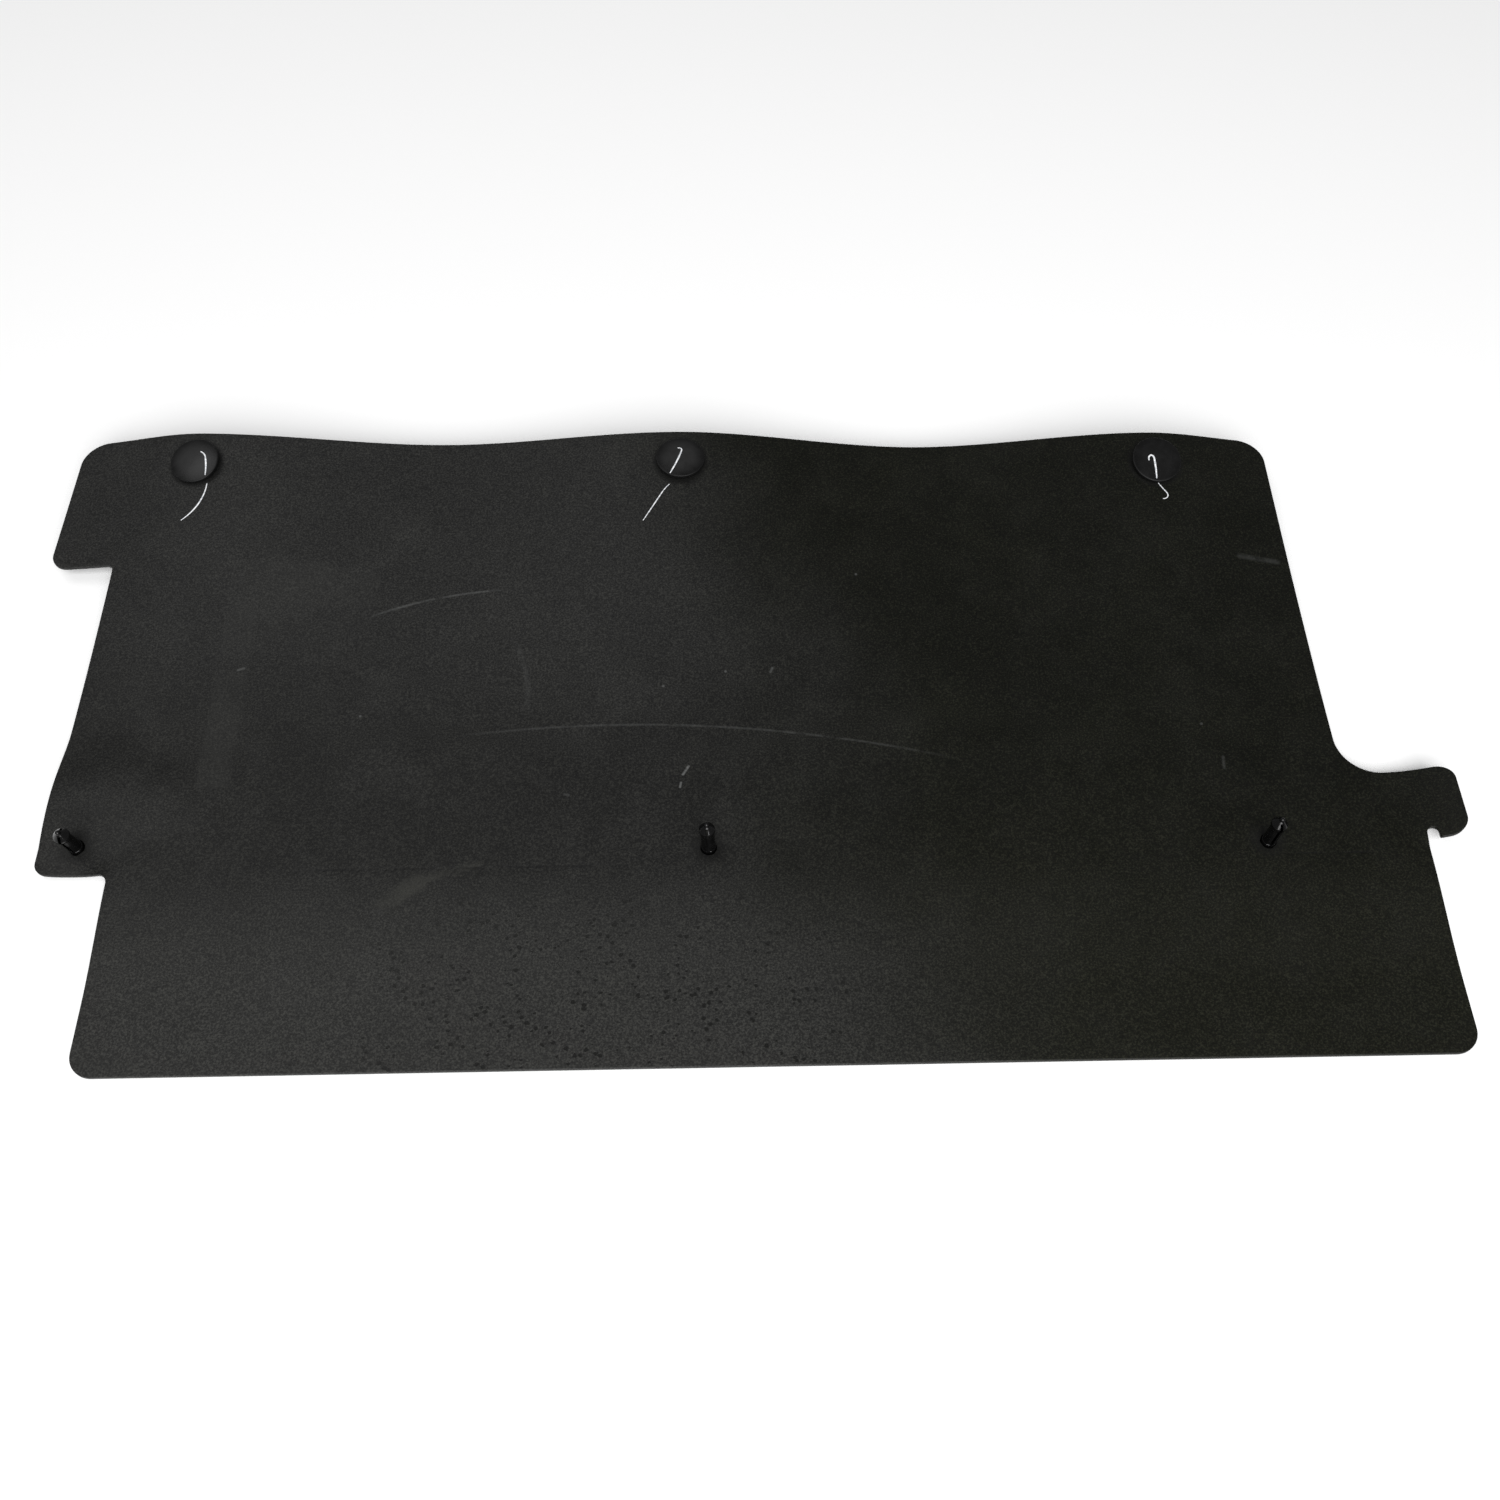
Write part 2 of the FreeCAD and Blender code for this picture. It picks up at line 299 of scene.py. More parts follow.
blank = bmesh.new()
top_of = {}
bottom_of = {}
for spot, source in zip(spots, sources):
    index = source[0]
    shift = lean_near(index, sheet_thickness)
    high = sheet_thickness - crease_at(spot.x, spot.y)
    top_of[index] = blank.verts.new((spot.x + shift.x, spot.y + shift.y, high))
    shift = lean_near(index, 0.0)
    bottom_of[index] = blank.verts.new((spot.x + shift.x, spot.y + shift.y, 0.0))
for triangle in triangles:
    corners = [sources[k][0] for k in triangle]
    middle = sum((spots[k] for k in triangle), Vector((0.0, 0.0))) / len(triangle)
    if any((middle - hole).length < hole_radius for hole in holes):
        continue
    blank.faces.new([top_of[k] for k in corners])
    blank.faces.new([bottom_of[k] for k in reversed(corners)])
first = 0
for points, edge, lean in loops:
    rings = [[bottom_of[first + k] for k in range(len(points))]]
    for inset, height in edge[1:-1]:
        shift = lean * (height - sheet_thickness / 2.0)
        rings.append([
            blank.verts.new((*(point - out * inset + shift), height))
            for point, out in zip(points, facing_out(points))
        ])
    rings.append([top_of[first + k] for k in range(len(points))])
    for low, high in zip(rings, rings[1:]):
        for k in range(len(points)):
            on = (k + 1) % len(points)
            blank.faces.new((low[k], low[on], high[on], high[k]))
    first += len(points)
sheet_mesh = bpy.data.meshes.new("rubber_sheet")
blank.to_mesh(sheet_mesh)
blank.free()
rubber_sheet = bpy.data.objects.new("rubber_sheet", sheet_mesh)
bpy.context.scene.collection.objects.link(rubber_sheet)


def join(tree, value, socket):
    """Link an output to a socket, or set the socket to a plain value."""
    if isinstance(value, bpy.types.NodeSocket):
        tree.links.new(value, socket)
    elif value is not None:
        socket.default_value = value


def node(tree, kind, values=(), out=0, **settings):
    """Add one node; values go to its inputs by number or name, and one output comes back."""
    made = tree.nodes.new(kind)
    for name, setting in settings.items():
        setattr(made, name, setting)
    pairs = values.items() if isinstance(values, dict) else enumerate(values)
    for key, value in pairs:
        join(tree, value, made.inputs[key])
    return made.outputs[out]


def math_of(tree, operation, *values):
    return node(tree, "ShaderNodeMath", values, operation=operation)


def times(tree, first, second):
    return math_of(tree, "MULTIPLY", first, second)


def plus(tree, first, second):
    return math_of(tree, "ADD", first, second)


def minus(tree, first, second):
    return math_of(tree, "SUBTRACT", first, second)


def eased(tree, value, low, high, start=0.0, end=1.0):
    """Smooth step of a value between two limits."""
    values = {"Value": value, "From Min": low, "From Max": high, "To Min": start, "To Max": end}
    return node(tree, "ShaderNodeMapRange", values, interpolation_type="SMOOTHSTEP", clamp=True)


def new_shape_tree(name, inputs):
    """A geometry tree with named inputs, each (kind, name); returns it and its input sockets."""
    tree = bpy.data.node_groups.new(name, "GeometryNodeTree")
    tree.interface.new_socket("Geometry", in_out="OUTPUT", socket_type="NodeSocketGeometry")
    tree.interface.new_socket("Geometry", in_out="INPUT", socket_type="NodeSocketGeometry")
    for kind, label in inputs:
        tree.interface.new_socket(label, in_out="INPUT", socket_type="NodeSocket" + kind)
    return tree, tree.nodes.new("NodeGroupInput").outputs


def end_tree(tree, geometry, material):
    """Realize what the tree made, give it its material and send it out."""
    whole = node(tree, "GeometryNodeRealizeInstances", [geometry])
    values = {"Geometry": whole, "Material": material}
    painted = node(tree, "GeometryNodeSetMaterial", values)
    join(tree, painted, tree.nodes.new("NodeGroupOutput").inputs[0])


def made_by(tree, piece, settings):
    """Run a geometry tree on a piece and keep the result as its plain mesh."""
    modifier = piece.modifiers.new(tree.name, "NODES")
    modifier.node_group = tree
    for item in tree.interface.items_tree:
        if item.item_type == "SOCKET" and item.in_out == "INPUT" and item.name in settings:
            modifier[item.identifier] = settings[item.name]
    bpy.context.view_layer.update()
    evaluated = piece.evaluated_get(bpy.context.evaluated_depsgraph_get())
    mesh = bpy.data.meshes.new_from_object(evaluated)
    bpy.data.objects.remove(piece)
    finished = bpy.data.objects.new(tree.name, mesh)
    bpy.context.scene.collection.objects.link(finished)
    return finished


def named(piece, name):
    piece.name = name
    piece.data.name = name
    return piece


def turned_outwards(piece):
    """Flip a closed mesh that was made inside out."""
    work = bmesh.new()
    work.from_mesh(piece.data)
    if work.calc_volume(signed=True) < 0.0:
        bmesh.ops.reverse_faces(work, faces=work.faces)
        work.to_mesh(piece.data)
    work.free()


# Rubber: nearly black, calendered and dusty, with a fine grain, pits where it has lain on grit,
# the paler patch that a removed label left, and light scratches from handling. A pale bloom, partly
# real and partly painted sheen, lightens it to the left. Painted shade darkens the crease and
# rings round the retainers.
def coat(material, colour, roughness, specular):
    """Set a material's plain shader values."""
    shader = material.node_tree.nodes["Principled BSDF"]
    shader.inputs["Base Color"].default_value = (*colour, 1.0)
    shader.inputs["Roughness"].default_value = roughness
    shader.inputs["Specular IOR Level"].default_value = specular
    return shader


def new_material(name):
    material = bpy.data.materials.new(name)
    material.use_nodes = True
    return material, material.node_tree


def noise(tree, where, scale, detail=2.0, roughness=0.5, distortion=0.0):
    values = {"Vector": where, "Scale": scale, "Detail": detail, "Roughness": roughness,
              "Distortion": distortion}
    return node(tree, "ShaderNodeTexNoise", values)


def blended(tree, share, first, second, how="MIX"):
    """Mix two colours by a share."""
    made = tree.nodes.new("ShaderNodeMix")
    made.data_type = "RGBA"
    made.blend_type = how
    join(tree, share, made.inputs[0])
    for value, socket in ((first, made.inputs[6]), (second, made.inputs[7])):
        join(tree, value if isinstance(value, bpy.types.NodeSocket) else (*value, 1.0), socket)
    return made.outputs[2]


def stroke_tree():
    """Shader group: 1 on a straight stroke from A to B, fading to 0 at its width."""
    tree = bpy.data.node_groups.new("surface stroke", "ShaderNodeTree")
    for kind, label in (("Vector", "Place"), ("Vector", "A"), ("Vector", "B"), ("Float", "Width")):
        tree.interface.new_socket(label, in_out="INPUT", socket_type="NodeSocket" + kind)
    tree.interface.new_socket("Mask", in_out="OUTPUT", socket_type="NodeSocketFloat")
    place, a, b, width = tree.nodes.new("NodeGroupInput").outputs[:4]

    def vector(operation, *values, out=0):
        return node(tree, "ShaderNodeVectorMath", values, out=out, operation=operation)

    along = vector("SUBTRACT", b, a)
    offset = vector("SUBTRACT", place, a)
    reach = math_of(tree, "DIVIDE", vector("DOT_PRODUCT", offset, along, out=1),
                    vector("DOT_PRODUCT", along, along, out=1))
    made = tree.nodes.new("ShaderNodeVectorMath")
    made.operation = "SCALE"
    join(tree, along, made.inputs[0])
    join(tree, eased_linear(tree, reach), made.inputs["Scale"])
    gap = vector("LENGTH", vector("SUBTRACT", offset, made.outputs[0]), out=1)
    share = math_of(tree, "DIVIDE", gap, width)
    mask = eased(tree, share, 1.0, 0.2)
    join(tree, mask, tree.nodes.new("NodeGroupOutput").inputs[0])
    return tree


def eased_linear(tree, value):
    return node(tree, "ShaderNodeClamp", [value, 0.0, 1.0])


rubber, tree = new_material("sheet_rubber_worn")
rubber_shader = coat(rubber, (0.012, 0.012, 0.011), 0.5, 0.21)
place = node(tree, "ShaderNodeTexCoord", out=3)
split = tree.nodes.new("ShaderNodeSeparateXYZ")
join(tree, place, split.inputs[0])
at_x, at_y = split.outputs[:2]
flat_place = node(tree, "ShaderNodeCombineXYZ", [at_x, at_y, 0.0])

wide_cloud = noise(tree, place, 7.0, 3.0, 0.5, 0.4)
cloud = noise(tree, place, 38.0, 4.0, 0.6, 0.5)
grain = noise(tree, place, 1120.0, 3.0, 0.75)
fine_grain = noise(tree, place, 2600.0, 2.0, 0.6)
patch = noise(tree, place, 16.0, 4.0, 0.6, 0.8)
# Bloom and painted sheen: the base colour is lighter to the left, lightest along the front left and
# the rear left where the soft light lies on the rubber, and darker and browner to the right.
bloom_and_sheen_edge = plus(tree, at_x, times(tree, at_y, 0.33))
bloom_and_sheen_edge = plus(tree, bloom_and_sheen_edge, times(tree, minus(tree, wide_cloud, 0.5), 0.16))
bloom_and_sheen = eased(tree, bloom_and_sheen_edge, 0.105, -0.045)
bare = eased(tree, at_y, -0.02, -0.14)
bare = blended(tree, bare, (0.0012, 0.0015, 0.0002), (0.0040, 0.0043, 0.0018))
colour = blended(tree, bloom_and_sheen, bare, (0.0080, 0.0080, 0.0076))
rear_bloom_and_sheen = times(tree, bloom_and_sheen, eased(tree, at_y, -0.02, 0.07))
colour = blended(tree, times(tree, rear_bloom_and_sheen, 0.6), colour, (0.0152, 0.0152, 0.0150))
front_bloom_and_sheen = times(tree, bloom_and_sheen, eased(tree, at_y, -0.065, -0.15))
colour = blended(tree, times(tree, front_bloom_and_sheen, 0.9), colour, (0.0200, 0.0200, 0.0187))
lighter = blended(tree, bloom_and_sheen, (0.0065, 0.0070, 0.0036), (0.0215, 0.0215, 0.0205))
colour = blended(tree, times(tree, eased(tree, patch, 0.45, 0.8), 0.5), colour, lighter)
dust = eased(tree, cloud, 0.38, 0.75)
dust_tone = blended(tree, bloom_and_sheen, (0.0060, 0.0063, 0.0040), (0.0175, 0.0175, 0.0165))
colour = blended(tree, times(tree, dust, 0.35), colour, dust_tone)
grit = eased(tree, grain, 0.38, 0.64, 0.50, 1.50)
colour = node(tree, "ShaderNodeVectorMath", {0: colour, "Scale": grit}, operation="SCALE")
speck = eased(tree, grain, 0.50, 0.66, 0.0, 0.0078)
speck = node(tree, "ShaderNodeCombineXYZ", [speck, speck, times(tree, speck, 0.75)])
colour = node(tree, "ShaderNodeVectorMath", [colour, speck], operation="ADD")

sheet_width = cad_box[1][0] - cad_box[0][0]
sheet_depth = cad_box[1][1] - cad_box[0][1]
label_left, label_right = -0.36 * sheet_width, -0.25 * sheet_width
label_front, label_rear = -0.10 * sheet_depth, 0.27 * sheet_depth
label_lip = 0.0015
label = eased(tree, at_x, label_left - label_lip, label_left + label_lip)
for value, low, high in (
    (at_x, label_right + label_lip, label_right - label_lip),
    (at_y, label_front - label_lip, label_front + label_lip),
    (at_y, label_rear + label_lip, label_rear - label_lip),
):
    label = times(tree, label, eased(tree, value, low, high))
label_strip = eased(tree, at_x, label_left + 0.018, label_left + 0.014)
label_top = eased(tree, at_y, 0.025, 0.09)
residue = times(tree, label, math_of(tree, "MAXIMUM", label_strip, label_top))
residue = times(tree, residue, eased(tree, cloud, 0.25, 0.6))
colour = blended(tree, times(tree, residue, 0.2), colour, (0.03, 0.03, 0.028))

stroke_group = stroke_tree()


def stroke(path, width):
    """Mask of a scratch or scuff along a path of points on the sheet."""
    mask = None
    for a, b in zip(path, path[1:]):
        made = tree.nodes.new("ShaderNodeGroup")
        made.node_tree = stroke_group
        join(tree, flat_place, made.inputs["Place"])
        join(tree, (*a, 0.0), made.inputs["A"])
        join(tree, (*b, 0.0), made.inputs["B"])
        join(tree, width, made.inputs["Width"])
        mask = made.outputs[0] if mask is None else math_of(tree, "MAXIMUM", mask, made.outputs[0])
    return mask


def gap_to(point):
    """Distance from a point of the sheet, seen from above."""
    return node(tree, "ShaderNodeVectorMath", [flat_place, (*point, 0.0)], out=1,
                operation="DISTANCE")


def arc(start, middle, end, width):
    """Mask of a sweeping scratch through three points, fading out at its two ends."""
    a, b, c = Vector(start), Vector(middle), Vector(end)
    twist = 2.0 * (a.x * (b.y - c.y) + b.x * (c.y - a.y) + c.x * (a.y - b.y))
    squares = [p.length_squared for p in (a, b, c)]
    centre = Vector((
        (squares[0] * (b.y - c.y) + squares[1] * (c.y - a.y) + squares[2] * (a.y - b.y)) / twist,
        (squares[0] * (c.x - b.x) + squares[1] * (a.x - c.x) + squares[2] * (b.x - a.x)) / twist,
    ))
    off = math_of(tree, "ABSOLUTE", minus(tree, gap_to(centre), (a - centre).length))
    mask = eased(tree, off, width, 0.2 * width)
    level = abs(c.x - a.x) > abs(c.y - a.y)
    run = at_x if level else at_y
    low, high = (a.x, c.x) if level else (c.y, a.y)
    fade = 0.2 * (high - low)
    mask = times(tree, mask, eased(tree, run, low, low + fade))
    mask = times(tree, mask, eased(tree, run, high, high - fade))
    side, edge = (at_y, centre.y) if level else (at_x, centre.x)
    past = b.y > centre.y if level else b.x > centre.x
    return times(tree, mask, math_of(tree, "GREATER_THAN" if past else "LESS_THAN", side, edge))


def drawn_path(start, heading, runs, step):
    """Points along curved runs, each a length and a turn in degrees, from a start and a heading."""
    spot, angle = Vector(start), math.radians(heading)
    points = [spot.copy()]
    for length, turn in runs:
        parts = max(2, 2 * round(length / step / 2.0))
        half_turn = math.radians(turn) / parts / 2.0
        for _ in range(parts):
            angle += half_turn
            spot = spot + Vector((math.cos(angle), math.sin(angle))) * (length / parts)
            angle += half_turn
            points.append(spot.copy())
    return points


def on_sheet(across, along):
    """A place on the sheet, as shares of its width and depth from the middle."""
    return across * sheet_width, along * sheet_depth


sweeps = [                                # width, strength, start, heading, length and turn
    (0.0009, 0.27, on_sheet(-0.26, 0.17), 25.0, 0.075, -25.0),
    (0.0009, 0.15, on_sheet(-0.20, -0.03), 8.0, 0.260, -24.0),
    (0.0022, 0.07, on_sheet(-0.15, 0.14), -60.0, 0.048, -35.0),
]
ticks = [                                 # width, strength, start, heading and length
    (0.0009, 0.90, on_sheet(-0.02, -0.08), -120.0, 0.0050),
    (0.0008, 0.60, on_sheet(-0.025, -0.105), -100.0, 0.0025),
    (0.0011, 0.14, on_sheet(0.35, -0.08), -95.0, 0.0060),
    (0.0009, 0.32, on_sheet(0.04, 0.075), -115.0, 0.0025),
    (0.0022, 0.12, on_sheet(0.39, 0.25), -10.0, 0.0190),
    (0.0010, 0.28, on_sheet(-0.34, 0.09), 200.0, 0.0030),
    (0.0010, 0.28, on_sheet(-0.105, -0.12), -15.0, 0.0020),
]
chance = random.Random(11)
flecks = [on_sheet(chance.uniform(-0.4, 0.4), chance.uniform(-0.4, 0.4)) for _ in range(5)]
broken = eased(tree, noise(tree, place, 190.0, 4.0, 0.7), 0.26, 0.58)
marks = None
for width, strength, start, heading, length, turn in sweeps:
    path = drawn_path(start, heading, [(length, turn)], length / 6.0)
    mask = times(tree, arc(path[0], path[len(path) // 2], path[-1], width), strength)
    marks = mask if marks is None else math_of(tree, "MAXIMUM", marks, mask)
for width, strength, start, heading, length in ticks:
    path = drawn_path(start, heading, [(length, 0.0)], length)
    mask = times(tree, stroke([tuple(path[0]), tuple(path[-1])], width), strength)
    marks = math_of(tree, "MAXIMUM", marks, mask)
for fleck in flecks:
    mask = times(tree, eased(tree, gap_to(fleck), 0.0009, 0.0004), 0.36)
    marks = math_of(tree, "MAXIMUM", marks, mask)
colour = blended(tree, times(tree, marks, broken), colour, (0.13, 0.133, 0.13))
rub = [tuple(spot) for spot in drawn_path(on_sheet(-0.22, -0.28), 45.0, [(0.018, -15.0)], 0.009)]
scuff = stroke(rub, 0.0062)
rub_end = [tuple(spot) for spot in drawn_path(rub[-1], 25.0, [(0.028, -15.0)], 0.014)]
scuff_tail = stroke(rub_end, 0.0028)
scuff = math_of(tree, "MAXIMUM", scuff, times(tree, scuff_tail, 0.7))
scuff = times(tree, scuff, eased(tree, cloud, 0.2, 0.7))
colour = blended(tree, times(tree, scuff, 0.55), colour, (0.034, 0.034, 0.029))

pit_shift = tree.nodes.new("ShaderNodeTexNoise")
join(tree, place, pit_shift.inputs["Vector"])
join(tree, 500.0, pit_shift.inputs["Scale"])
pit_place = node(tree, "ShaderNodeVectorMath", {0: pit_shift.outputs[1], "Scale": 0.0016},
                 operation="SCALE")
pit_place = node(tree, "ShaderNodeVectorMath", [flat_place, pit_place], operation="ADD")
pit_places = {"Vector": pit_place, "Scale": 200.0, "Randomness": 1.0}
pit_gap = node(tree, "ShaderNodeTexVoronoi", pit_places, voronoi_dimensions="2D")
pit_size = eased(tree, noise(tree, place, 75.0, 1.0), 0.38, 0.70, 0.02, 0.28)
pit_front = times(tree, eased(tree, at_y, -0.07, -0.125),
                  times(tree, eased(tree, at_x, -0.24, -0.07), eased(tree, at_x, 0.13, 0.02)))
pit_share = plus(tree, times(tree, pit_front, 0.85), times(tree, bloom_and_sheen, 0.13))
pits = eased(tree, math_of(tree, "DIVIDE", pit_gap, pit_size), 1.0, 0.5)
pits = times(tree, pits, pit_share)
colour = blended(tree, pits, colour, (0.0035, 0.0035, 0.003))

# Painted shade: a dark line along the crease where its groove is shaded, strongest on its left and
# right stretches.
crease_gap = math_of(tree, "ABSOLUTE", minus(tree, at_y, fold_y))
crease_shade = eased(tree, crease_gap, 0.0009, 0.0002)
crease_left = times(tree, eased(tree, at_x, -0.215, -0.16), eased(tree, at_x, -0.02, -0.05))
crease_right = times(tree, eased(tree, at_x, 0.255, 0.272), eased(tree, at_x, 0.300, 0.288))
crease_shade_stretches = math_of(tree, "MAXIMUM", crease_left, crease_right)
crease_shade_stretches = times(tree, crease_shade_stretches, eased(tree, noise(tree, place, 60.0), 0.35, 0.55))
crease_shade = times(tree, crease_shade, plus(tree, times(tree, crease_shade_stretches, 0.62), 0.06))
colour = blended(tree, crease_shade, colour, (0.003, 0.003, 0.003))

# Painted shade: dark rings on the sheet round the stems and just past the edges of the heads, where
# they shade the rubber.
painted_shade = None
for body in retainer_bodies:
    seat = Vector(joint_of[body]["pos_m"])
    inner, outer = (0.0125, 0.0155) if body.startswith("rear") else (0.003, 0.0115)
    ring = eased(tree, gap_to((seat.x, seat.y)), outer, inner)
    painted_shade = ring if painted_shade is None else math_of(tree, "MAXIMUM", painted_shade, ring)
colour = blended(tree, times(tree, painted_shade, 0.75), colour, (0.0022, 0.0022, 0.002))
join(tree, colour, rubber_shader.inputs["Base Color"])

rough = plus(tree, 0.47, times(tree, minus(tree, cloud, 0.5), 0.22))
rough = plus(tree, rough, times(tree, minus(tree, grain, 0.5), 0.25))
rough = plus(tree, rough, times(tree, residue, 0.05))
rough = plus(tree, rough, times(tree, painted_shade, 0.15))
join(tree, rough, rubber_shader.inputs["Roughness"])
relief = plus(tree, times(tree, grain, 0.7), times(tree, fine_grain, 0.45))
relief = minus(tree, relief, times(tree, pits, 1.2))
relief = minus(tree, relief, times(tree, times(tree, marks, broken), 0.5))
bump = {"Strength": 0.5, "Distance": 0.0002, "Height": relief}
join(tree, node(tree, "ShaderNodeBump", bump), rubber_shader.inputs["Normal"])

# The set of the sheet. Stations are the places across it where its rear edge crests and dips.
head_radius = 0.0127
seat_gap = 0.0003
leaning_seat_gap = 0.00045
flap_settle = 0.062
ramp_margin = 0.006
seat_spread = 6.0
tab_curl = 0.008
tab_curl_length = 0.032
tab_curl_rise = 0.01
corner_lifts = (0.0085, 0.0105)
valley_lifts = (0.0085, 0.007)

rear_bodies = [f"rear_{side}_retainer" for side in ("left", "centre", "right")]
front_bodies = [f"front_{side}_retainer" for side in ("left", "centre", "right")]
seat_of = {body: Vector(joint_of[body]["pos_m"]) for body in retainer_bodies}
upward_of = {
    body: Vector(joint_of[body]["axis"]) * math.copysign(1.0, joint_of[body]["axis"][2])
    for body in retainer_bodies
}
ramp_start = max(seat_of[body].y for body in front_bodies) + head_radius + ramp_margin
ramp_end = sum(seat_of[body].y for body in rear_bodies) / len(rear_bodies)


def slopes(axis):
    return Vector((-axis.x / axis.z, -axis.y / axis.z))


def ramp(y):
    along = (y - ramp_start) / (ramp_end - ramp_start)
    held = min(max(along, 0.0), 1.0)
    return held * held * (3.0 - held) / 2.0 + 1.5 * max(along - 1.0, 0.0)


def rear_lift(body):
    """Height that the sheet's rear rises at a retainer, so that it hangs just under its head."""
    seat = seat_of[body]
    under = seat.z - sheet_thickness - seat_gap
    slope = 1.5 * (under - fold_height) / (ramp_end - ramp_start)
    tilt = slopes(upward_of[body]) - Vector((0.0, slope))
    under -= head_radius * tilt.length
    return (under - fold_height) / ramp(seat.y)


posts = [seat_of[body].x for body in rear_bodies]
stations = [
    (-half_width, corner_lifts[0]),
    (posts[0], rear_lift(rear_bodies[0])),
    ((posts[0] + posts[1]) / 2.0, valley_lifts[0]),
    (posts[1], rear_lift(rear_bodies[1])),
    ((posts[1] + posts[2]) / 2.0, valley_lifts[1]),
    (posts[2], rear_lift(rear_bodies[2])),
    (right_edge, corner_lifts[1]),
]
left_seat = seat_of["front_left_retainer"]
left_slopes = slopes(upward_of["front_left_retainer"])
left_reach = math.hypot(flap_left + left_seat.x, fold_y - left_seat.y) - head_radius - seat_gap

lie_inputs = [("Float", "Fold Line"), ("Float", "Fold Height"), ("Float", "Flap Settle"),
              ("Float", "Ramp Start"), ("Float", "Ramp End"), ("Float", "Tab Curl"),
              ("Float", "Tab Curl Start"), ("Float", "Tab Curl Length"), ("Float", "Tab Curl Rise"),
              ("Vector", "Left Seat"), ("Vector", "Left Slopes"), ("Float", "Head Reach"),
              ("Float", "Left Reach"), ("Float", "Slot Across"), ("Float", "Waviness"),
              ("Material", "Rubber")]
for number in range(len(stations)):
    lie_inputs += [("Float", f"Station {number} Across"), ("Float", f"Station {number} Lift")]
lie_tree, given = new_shape_tree("sheet_lie", lie_inputs)
where = node(lie_tree, "GeometryNodeInputPosition")
split = lie_tree.nodes.new("ShaderNodeSeparateXYZ")
join(lie_tree, where, split.inputs[0])
x, y = split.outputs[:2]
flat_end = minus(lie_tree, given["Fold Line"], given["Flap Settle"])
lie = eased(lie_tree, y, flat_end, given["Fold Line"], 0.0, given["Fold Height"])
wave = given["Station 0 Lift"]
for number in range(1, len(stations)):
    step = minus(lie_tree, given[f"Station {number} Lift"], given[f"Station {number - 1} Lift"])
    low, high = given[f"Station {number - 1} Across"], given[f"Station {number} Across"]
    wave = plus(lie_tree, wave, eased(lie_tree, x, low, high, 0.0, step))
run = minus(lie_tree, given["Ramp End"], given["Ramp Start"])
along = math_of(lie_tree, "DIVIDE", minus(lie_tree, y, given["Ramp Start"]), run)
held = eased_linear(lie_tree, along)
cubic = times(lie_tree, times(lie_tree, held, held), minus(lie_tree, 3.0, held))
beyond = math_of(lie_tree, "MAXIMUM", minus(lie_tree, along, 1.0), 0.0)
rise = plus(lie_tree, times(lie_tree, cubic, 0.5), times(lie_tree, beyond, 1.5))
lie = plus(lie_tree, lie, times(lie_tree, wave, rise))

seat_split = lie_tree.nodes.new("ShaderNodeSeparateXYZ")
join(lie_tree, given["Left Seat"], seat_split.inputs[0])
slope_split = lie_tree.nodes.new("ShaderNodeSeparateXYZ")
join(lie_tree, given["Left Slopes"], slope_split.inputs[0])
off_x = minus(lie_tree, x, seat_split.outputs[0])
off_y = minus(lie_tree, y, seat_split.outputs[1])
gap = math_of(lie_tree, "SQRT",
              plus(lie_tree, times(lie_tree, off_x, off_x), times(lie_tree, off_y, off_y)))
spread = eased(lie_tree, off_y, 0.0, head_radius, 1.0, seat_spread)
reach = times(lie_tree, given["Left Reach"], spread)
share = math_of(lie_tree, "DIVIDE", minus(lie_tree, gap, given["Head Reach"]), reach)
share = eased(lie_tree, share, 1.0, 0.0)
seated = plus(lie_tree, times(lie_tree, slope_split.outputs[0], off_x),
              times(lie_tree, slope_split.outputs[1], off_y))
seated = plus(lie_tree, seated, seat_split.outputs[2])
lie = plus(lie_tree, lie, times(lie_tree, share, minus(lie_tree, seated, lie)))

curl = math_of(lie_tree, "DIVIDE", minus(lie_tree, x, given["Tab Curl Start"]),
               given["Tab Curl Length"])
curl = math_of(lie_tree, "MAXIMUM", curl, 0.0)
curl = times(lie_tree, times(lie_tree, curl, curl), given["Tab Curl"])
curl_high = plus(lie_tree, given["Fold Line"], given["Tab Curl Rise"])
curl_share = math_of(lie_tree, "MAXIMUM", eased(lie_tree, y, given["Fold Line"], curl_high),
                     math_of(lie_tree, "GREATER_THAN", x, given["Slot Across"]))
lie = plus(lie_tree, lie, times(lie_tree, curl, curl_share))
ripple = noise(lie_tree, where, 22.0, 1.0)
lie = plus(lie_tree, lie, times(lie_tree, ripple, given["Waviness"]))
lifted = node(lie_tree, "ShaderNodeCombineXYZ", [0.0, 0.0, lie])
shape = node(lie_tree, "GeometryNodeSetPosition", {"Geometry": given["Geometry"], "Offset": lifted})
shape = node(lie_tree, "GeometryNodeSetShadeSmooth", {"Geometry": shape, "Shade Smooth": True})
end_tree(lie_tree, shape, given["Rubber"])

